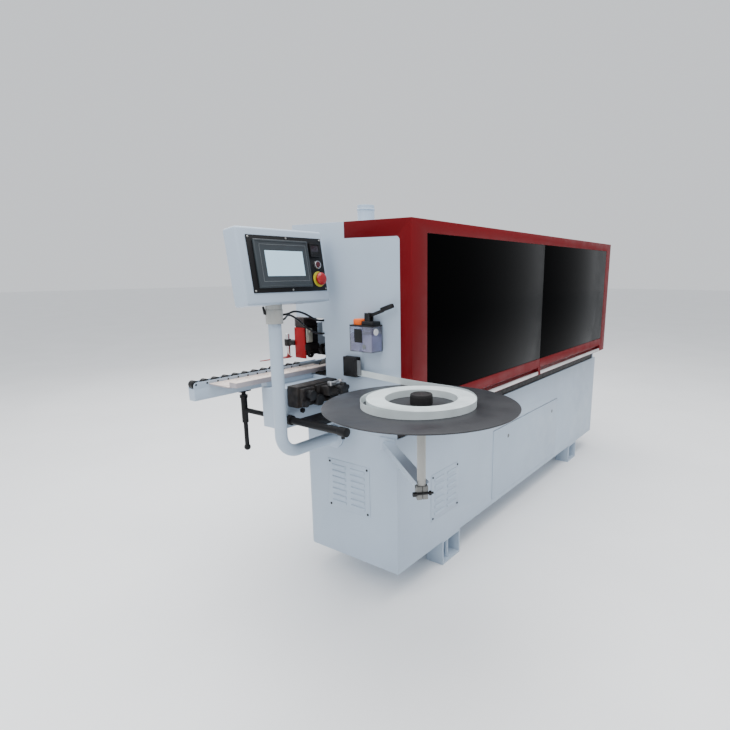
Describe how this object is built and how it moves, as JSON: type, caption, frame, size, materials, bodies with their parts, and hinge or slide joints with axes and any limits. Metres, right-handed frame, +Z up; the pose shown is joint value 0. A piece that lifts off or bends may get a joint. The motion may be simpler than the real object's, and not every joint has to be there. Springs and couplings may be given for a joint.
{
  "type": "edge banding machine",
  "caption": "Automatic edge banding machine with lift-up hood doors, chain feed under a pressure beam, roller infeed rail, coil tray and swivelling control panel",
  "frame": {"origin": "on the floor under the middle of the whole machine's box", "axes": "+X along the feed from the infeed end to the outfeed end, +Y from the hood's window side to the side that the panels lie on, +Z up"},
  "size_m": [3, 1.243, 1.6],
  "materials": {
    "white_paint": "fine orange-peel powder coat, cool off-white",
    "red_paint": "satin deep red powder coat",
    "black_screw": "black oxide screws",
    "chain_pad": "ribbed rubber pads",
    "bare_steel": "ground steel",
    "grey_paint": "satin grey enamel",
    "dark_metal": "dark blued and painted castings",
    "black_rubber": "rubber tyres",
    "beige_laminate": "light beige laminate",
    "black_paint": "satin black enamel",
    "black_plastic": "moulded black plastic",
    "edge_tape": "pale edging tape",
    "clear_plastic": "clear moulded tank",
    "tray_paint": "dark slate powder coat",
    "screen_glass": "dark bezel with a pale touch screen",
    "red_plastic": "glossy red plastic",
    "hose_rubber": "black polyurethane hose",
    "window_sheet": "glossy dark smoked sheet"
  },
  "bodies": {
    "root": {"base_cabinet": "white_paint", "machine_feet": "white_paint", "vent_covers": "white_paint", "cover_screws": "black_screw", "hood_panels": "white_paint", "hood_frame": "red_paint", "dust_outlet": "white_paint", "feed_beam": "white_paint", "feed_chain": "chain_pad", "feed_motor": "grey_paint", "glue_unit": "dark_metal", "trimming_units": "dark_metal", "beam_columns": "grey_paint", "infeed_console": "white_paint", "infeed_table": "beige_laminate", "infeed_rail": "white_paint", "rail_support": "black_paint", "tape_feeder": "dark_metal", "tape_guide": "black_plastic", "tape_lead": "edge_tape", "oil_reservoir": "clear_plastic", "oil_pump": "black_plastic", "tray_bracket": "white_paint", "control_arm": "white_paint", "hose_upper": "hose_rubber", "hose_lower": "hose_rubber"},
    "near_lift_door": {"near_door": "red_paint", "near_window": "window_sheet"},
    "far_lift_door": {"far_door": "red_paint", "far_window": "window_sheet"},
    "service_door": {"service_door": "white_paint"},
    "panel": {"panel_box": "white_paint", "control_plate": "black_plastic", "touch_screen": "screen_glass"},
    "start_button": {"start_button": "red_plastic"},
    "estop_button": {"estop_button": "red_plastic"},
    "tray": {"coil_tray": "tray_paint", "tape_coil": "edge_tape"},
    "pressure_beam": {"pressure_beam": "white_paint", "beam_wheels": "black_rubber", "beam_head": "dark_metal"},
    "infeed_flap": {"infeed_flap": "red_paint"},
    "oil_handle": {"oil_handle": "black_plastic"},
    "star_knob": {"star_knob": "black_plastic"},
    "glue_roller": {"glue_roller": "bare_steel"},
    "trim_cutters": {"trim_cutters": "bare_steel"},
    "drive_sprocket": {"drive_sprocket": "bare_steel"},
    "idler_sprocket": {"idler_sprocket": "bare_steel"},
    "rail_roller_01": {"rail_roller_01": "black_plastic"},
    "rail_roller_02": {"rail_roller_02": "black_plastic"},
    "rail_roller_03": {"rail_roller_03": "black_plastic"},
    "rail_roller_04": {"rail_roller_04": "black_plastic"},
    "rail_roller_05": {"rail_roller_05": "black_plastic"},
    "rail_roller_06": {"rail_roller_06": "black_plastic"},
    "rail_roller_07": {"rail_roller_07": "black_plastic"},
    "rail_roller_08": {"rail_roller_08": "black_plastic"},
    "rail_roller_09": {"rail_roller_09": "black_plastic"},
    "rail_roller_10": {"rail_roller_10": "black_plastic"},
    "rail_roller_11": {"rail_roller_11": "black_plastic"},
    "rail_roller_12": {"rail_roller_12": "black_plastic"}
  },
  "joints": [
    {"name": "near_door_lift", "type": "hinge", "parent": "root", "child": "near_lift_door", "pos_m": [-0.304, -0.1075, 1.453], "axis": [-1, 0, 0], "range_deg": [0, 75]},
    {"name": "far_door_lift", "type": "hinge", "parent": "root", "child": "far_lift_door", "pos_m": [0.797, -0.1075, 1.453], "axis": [-1, 0, 0], "range_deg": [0, 75]},
    {"name": "service_door_open", "type": "hinge", "parent": "root", "child": "service_door", "pos_m": [0.301, -0.0315, 0.152], "axis": [1, 0, 0], "range_deg": [0, 90]},
    {"name": "panel_swivel", "type": "hinge", "parent": "root", "child": "panel", "pos_m": [-1.23, 0.2905, 1.195], "axis": [0, 0, 1], "range_deg": [-90, 90]},
    {"name": "start_button_press", "type": "slide", "parent": "panel", "child": "start_button", "axis": [0, 0.9888, -0.1495], "range_m": [0, 0.003], "stiffness_N_per_m": 300},
    {"name": "estop_press", "type": "slide", "parent": "panel", "child": "estop_button", "axis": [0, 0.9888, -0.1495], "range_m": [0, 0.005]},
    {"name": "tray_spin", "type": "hinge", "parent": "root", "child": "tray", "pos_m": [-1.2, -0.3215, 0.924], "axis": [0, 0, 1], "continuous": true},
    {"name": "beam_height", "type": "slide", "parent": "root", "child": "pressure_beam", "axis": [0, 0, 1], "range_m": [-0.015, 0.037]},
    {"name": "flap_swing", "type": "hinge", "parent": "pressure_beam", "child": "infeed_flap", "pos_m": [-0.904, 0.6005, 0.9495], "axis": [0, 0, 1], "range_deg": [-30, 30]},
    {"name": "oil_lever_pump", "type": "hinge", "parent": "root", "child": "oil_handle", "pos_m": [-0.982, 0.0645, 1.158], "axis": [1, 0, 0], "range_deg": [0, 30], "stiffness_Nm_per_rad": 1, "springref_deg": -14.32},
    {"name": "star_knob_turn", "type": "hinge", "parent": "root", "child": "star_knob", "pos_m": [-1.02, 0.1685, 0.88], "axis": [0, -1, 0], "continuous": true},
    {"name": "glue_roller_spin", "type": "hinge", "parent": "root", "child": "glue_roller", "pos_m": [-0.375, 0.3705, 0.94], "axis": [0, 0, 1], "continuous": true},
    {"name": "trim_spindle_spin", "type": "hinge", "parent": "root", "child": "trim_cutters", "pos_m": [0.34, 0.3265, 0.93], "axis": [0, 0, 1], "continuous": true},
    {"name": "drive_sprocket_spin", "type": "hinge", "parent": "root", "child": "drive_sprocket", "pos_m": [1.4, 0.5225, 0.845], "axis": [0, 1, 0], "continuous": true},
    {"name": "idler_sprocket_spin", "type": "hinge", "parent": "root", "child": "idler_sprocket", "pos_m": [-0.71, 0.5225, 0.845], "axis": [0, 1, 0], "continuous": true},
    {"name": "rail_roller_01_spin", "type": "hinge", "parent": "root", "child": "rail_roller_01", "pos_m": [-1.384, 0.579, 0.91], "axis": [0, 1, 0], "continuous": true},
    {"name": "rail_roller_02_spin", "type": "hinge", "parent": "root", "child": "rail_roller_02", "pos_m": [-1.338, 0.579, 0.91], "axis": [0, 1, 0], "continuous": true},
    {"name": "rail_roller_03_spin", "type": "hinge", "parent": "root", "child": "rail_roller_03", "pos_m": [-1.292, 0.579, 0.91], "axis": [0, 1, 0], "continuous": true},
    {"name": "rail_roller_04_spin", "type": "hinge", "parent": "root", "child": "rail_roller_04", "pos_m": [-1.246, 0.579, 0.91], "axis": [0, 1, 0], "continuous": true},
    {"name": "rail_roller_05_spin", "type": "hinge", "parent": "root", "child": "rail_roller_05", "pos_m": [-1.2, 0.579, 0.91], "axis": [0, 1, 0], "continuous": true},
    {"name": "rail_roller_06_spin", "type": "hinge", "parent": "root", "child": "rail_roller_06", "pos_m": [-1.154, 0.579, 0.91], "axis": [0, 1, 0], "continuous": true},
    {"name": "rail_roller_07_spin", "type": "hinge", "parent": "root", "child": "rail_roller_07", "pos_m": [-1.108, 0.579, 0.91], "axis": [0, 1, 0], "continuous": true},
    {"name": "rail_roller_08_spin", "type": "hinge", "parent": "root", "child": "rail_roller_08", "pos_m": [-1.062, 0.579, 0.91], "axis": [0, 1, 0], "continuous": true},
    {"name": "rail_roller_09_spin", "type": "hinge", "parent": "root", "child": "rail_roller_09", "pos_m": [-1.016, 0.579, 0.91], "axis": [0, 1, 0], "continuous": true},
    {"name": "rail_roller_10_spin", "type": "hinge", "parent": "root", "child": "rail_roller_10", "pos_m": [-0.97, 0.579, 0.91], "axis": [0, 1, 0], "continuous": true},
    {"name": "rail_roller_11_spin", "type": "hinge", "parent": "root", "child": "rail_roller_11", "pos_m": [-0.924, 0.579, 0.91], "axis": [0, 1, 0], "continuous": true},
    {"name": "rail_roller_12_spin", "type": "hinge", "parent": "root", "child": "rail_roller_12", "pos_m": [-0.878, 0.579, 0.91], "axis": [0, 1, 0], "continuous": true}
  ],
  "couplings": [
    {"joint": "idler_sprocket_spin", "follows": "drive_sprocket_spin", "ratio": 1}
  ]
}
